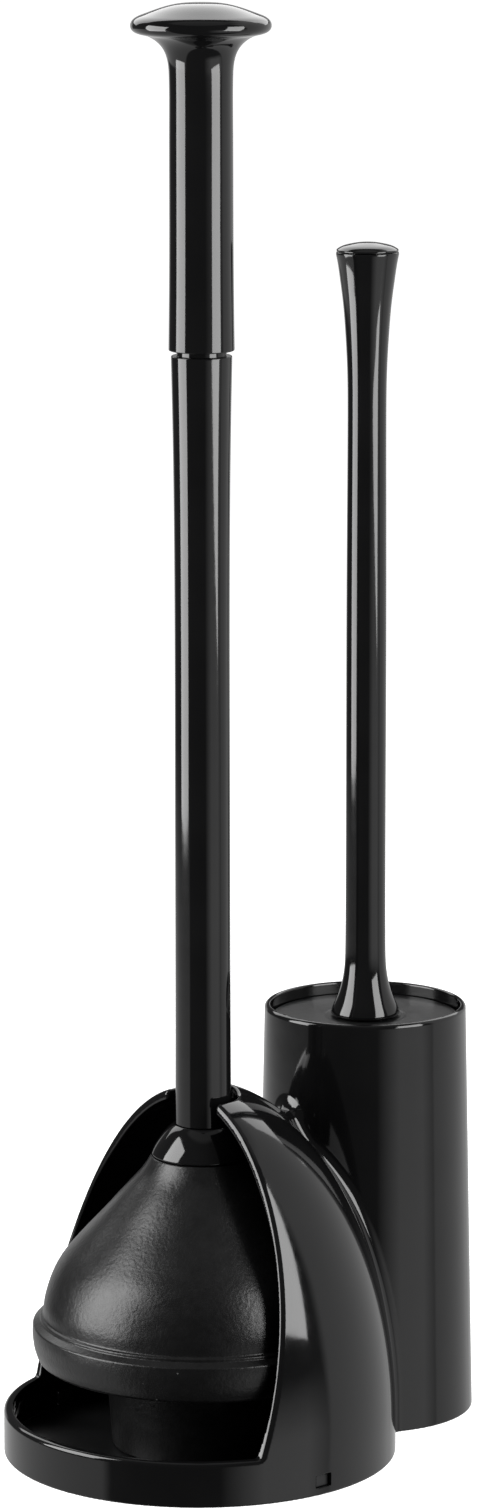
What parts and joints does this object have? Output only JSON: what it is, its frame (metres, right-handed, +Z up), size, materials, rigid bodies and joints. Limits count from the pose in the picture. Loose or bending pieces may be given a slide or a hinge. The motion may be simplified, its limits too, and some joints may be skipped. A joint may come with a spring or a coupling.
{
  "type": "toilet plunger and brush set",
  "caption": "Bell-shaped flange plunger with a knobbed handle and a companion bowl brush, standing in one moulded holder with a domed cover and a canister.",
  "frame": {"origin": "on the ground under the middle of the holder's footprint", "axes": "+Z up along both handles; +X from the plunger to the brush; the cover opens towards -X"},
  "size_m": [0.2128, 0.1556, 0.5716],
  "materials": {
    "black_gloss_plastic": "glossy injection-moulded black",
    "black_moulded_plastic": "satin injection-moulded black",
    "cup_rubber": "dull black rubber with a fine mottle",
    "bristle_nylon": "off-white nylon filaments",
    "zinc_steel": "zinc-plated"
  },
  "bodies": {
    "holder": {"holder_shell": "black_gloss_plastic", "base_plate": "black_moulded_plastic"},
    "plunger": {"plunger_grip": "black_gloss_plastic", "plunger_shaft": "black_gloss_plastic", "cup_collar": "black_gloss_plastic", "plunger_cup": "cup_rubber", "cup_washer": "zinc_steel", "cup_screw": "zinc_steel"},
    "brush": {"brush_handle": "black_gloss_plastic", "brush_handle_cap": "black_gloss_plastic", "canister_lid": "black_moulded_plastic", "brush_core": "black_moulded_plastic", "bristle_row_1": "bristle_nylon", "bristle_row_2": "bristle_nylon", "bristle_row_3": "bristle_nylon", "bristle_row_4": "bristle_nylon", "bristle_row_5": "bristle_nylon", "bristle_row_6": "bristle_nylon", "bristle_row_7": "bristle_nylon", "bristle_row_8": "bristle_nylon"}
  },
  "joints": [
    {"name": "plunger_pull", "type": "slide", "parent": "holder", "child": "plunger", "axis": [-0.9203, 0.0644, 0.3859], "range_m": [0, 0.16]},
    {"name": "brush_lift", "type": "slide", "parent": "holder", "child": "brush", "axis": [0, 0, 1], "range_m": [0, 0.13]}
  ]
}
